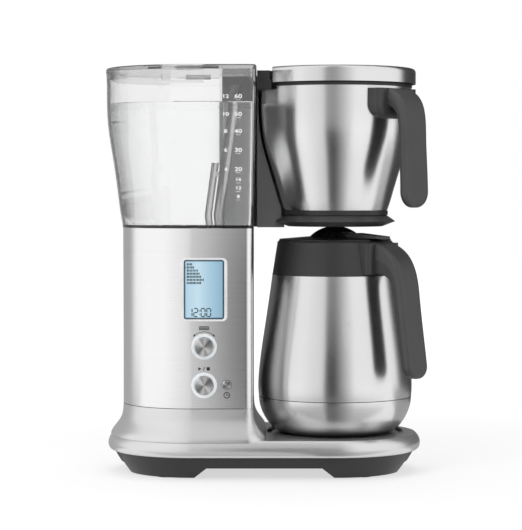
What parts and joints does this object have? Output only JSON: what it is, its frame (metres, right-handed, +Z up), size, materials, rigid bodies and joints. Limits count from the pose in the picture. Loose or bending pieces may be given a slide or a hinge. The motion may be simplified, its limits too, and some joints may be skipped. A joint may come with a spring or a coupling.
{
  "type": "drip coffee maker",
  "caption": "Drip coffee maker with a clear water tank on a steel column, a pull-out brew basket under a hinged lid, and a thermal carafe on a long base.",
  "frame": {"origin": "on the counter under the middle of the base", "axes": "+X right seen from the front, +Y to the back, +Z up"},
  "size_m": [0.315, 0.1733, 0.4],
  "materials": {
    "black_plastic": "moulded, fine grain",
    "grey_plastic": "moulded, soft matte",
    "white_plastic": "moulded",
    "frosted_plastic": "translucent",
    "clear_plastic": "clear",
    "rubber": "matte",
    "hose": "silicone",
    "silver_cover": "satin",
    "brushed_sleeve": "brushed along the run of the sheet",
    "brushed_steel": "brushed round the axis",
    "bright_metal": "spun",
    "screw_steel": "plain",
    "cast_metal": "cast",
    "board": "lacquered",
    "display": "backlit",
    "display_glass": "polished",
    "light_guide": "translucent"
  },
  "bodies": {
    "machine": {"base_plinth": "black_plastic", "rubber_feet": "rubber", "base_cover": "silver_cover", "carafe_rail": "black_plastic", "column_sleeve": "brushed_sleeve", "rear_panel": "grey_plastic", "cord_gland": "rubber", "case_screws": "screw_steel", "top_deck": "black_plastic", "chassis": "grey_plastic", "control_carrier": "black_plastic", "control_board": "board", "rotary_encoder": "bright_metal", "button_switches": "black_plastic", "lcd_bezel": "bright_metal", "lcd_window": "display_glass", "lcd_panel": "display", "light_rings": "light_guide", "power_board": "board", "pump_housing": "grey_plastic", "flow_meter": "white_plastic", "heater": "cast_metal", "water_hoses": "hose", "water_tank": "clear_plastic", "tank_strainer": "white_plastic", "riser_tube": "frosted_plastic", "level_probe": "frosted_plastic", "arm_housing": "grey_plastic", "arm_rear_cover": "grey_plastic", "drip_plate": "grey_plastic", "drip_plate_underside": "grey_plastic", "valve_spring": "screw_steel", "shower_arm": "black_plastic", "shower_head": "brushed_steel", "hinge_bracket": "black_plastic", "hinge_pins": "screw_steel"},
    "tank_lid": {"tank_lid": "clear_plastic"},
    "brew_lid": {"lid_band": "brushed_steel", "lid_cap": "black_plastic", "lid_gasket": "rubber"},
    "basket": {"basket_shell": "brushed_steel", "basket_rim": "black_plastic", "basket_base_ring": "black_plastic", "filter_insert": "brushed_steel", "basket_handle_core": "grey_plastic", "basket_handle_grip": "grey_plastic", "basket_handle_screws": "screw_steel"},
    "carafe": {"carafe_shell": "brushed_steel", "carafe_bottom": "brushed_steel", "carafe_liner": "brushed_steel", "carafe_collar": "grey_plastic", "carafe_handle_core": "grey_plastic", "carafe_handle_grip": "grey_plastic"},
    "carafe_lid": {"carafe_lid": "grey_plastic"},
    "pour_lever": {"pour_lever": "grey_plastic"},
    "select_dial": {"select_dial": "bright_metal"},
    "start_button": {"start_button": "bright_metal"},
    "auto_button": {"auto_button": "bright_metal"},
    "drip_valve": {"valve_plunger": "black_plastic"},
    "pump_rotor": {"pump_rotor": "white_plastic"}
  },
  "joints": [
    {"name": "tank_lid_hinge", "type": "hinge", "parent": "machine", "child": "tank_lid", "pos_m": [-0.068, 0.0805, 0.3968], "axis": [-1, 0, 0], "range_deg": [0, 95]},
    {"name": "brew_lid_hinge", "type": "hinge", "parent": "machine", "child": "brew_lid", "pos_m": [0.001, 0, 0.392], "axis": [0, -1, 0], "range_deg": [0, 85]},
    {"name": "basket_slide", "type": "slide", "parent": "machine", "child": "basket", "axis": [0.7071, -0.7071, 0], "range_m": [0, 0.2]},
    {"name": "carafe_slide", "type": "slide", "parent": "machine", "child": "carafe", "axis": [0, -1, 0], "range_m": [0, 0.25]},
    {"name": "carafe_lid_twist", "type": "hinge", "parent": "carafe", "child": "carafe_lid", "pos_m": [0.07075, 0, 0.23], "axis": [0, 0, 1], "range_deg": [0, 45]},
    {"name": "pour_lever_hinge", "type": "hinge", "parent": "carafe_lid", "child": "pour_lever", "pos_m": [0.08277, -0.01202, 0.2344], "axis": [0.7071, 0.7071, 0], "range_deg": [0, 3], "stiffness_Nm_per_rad": 0.5},
    {"name": "select_dial_turn", "type": "hinge", "parent": "machine", "child": "select_dial", "pos_m": [-0.0582, -0.07, 0.1288], "axis": [0, -1, 0], "continuous": true},
    {"name": "start_press", "type": "slide", "parent": "machine", "child": "start_button", "axis": [0, 1, 0], "range_m": [0, 0.0015], "stiffness_N_per_m": 600},
    {"name": "auto_press", "type": "slide", "parent": "machine", "child": "auto_button", "axis": [0, 1, 0], "range_m": [0, 0.0015], "stiffness_N_per_m": 500},
    {"name": "drip_valve_slide", "type": "slide", "parent": "machine", "child": "drip_valve", "axis": [0, 0, -1], "range_m": [0, 0.003], "deforming": ["valve_spring"]},
    {"name": "pump_spin", "type": "hinge", "parent": "machine", "child": "pump_rotor", "pos_m": [-0.1, -0.005, 0.021], "axis": [0, 0, 1], "continuous": true}
  ],
  "couplings": [
    {"joint": "drip_valve_slide", "follows": "carafe_slide", "ratio": 0.012}
  ]
}
